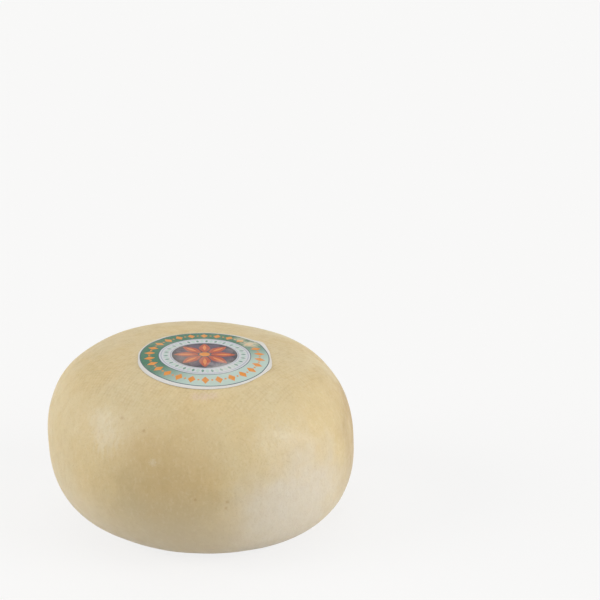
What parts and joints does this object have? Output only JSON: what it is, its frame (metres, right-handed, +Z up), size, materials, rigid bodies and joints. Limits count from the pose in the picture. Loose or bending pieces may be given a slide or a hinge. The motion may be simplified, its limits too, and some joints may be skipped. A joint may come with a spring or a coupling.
{
  "type": "pecorino",
  "caption": "Whole uncut wheel of aged hard sheep's cheese with rounded sides, standing on its flat base, with a thin round paper label on its crown.",
  "frame": {"origin": "on the surface that the wheel stands on, under the middle of its bounding box", "axes": "+Z up through the crown, -Y towards the side that the label lies on, +X to the right seen from there"},
  "size_m": [0.2002, 0.2, 0.1168],
  "materials": {
    "rind": "satin, washed and oiled rind",
    "label_paper": "coated printed paper"
  },
  "bodies": {
    "root": {"wheel": "rind", "label": "label_paper"}
  },
  "joints": []
}
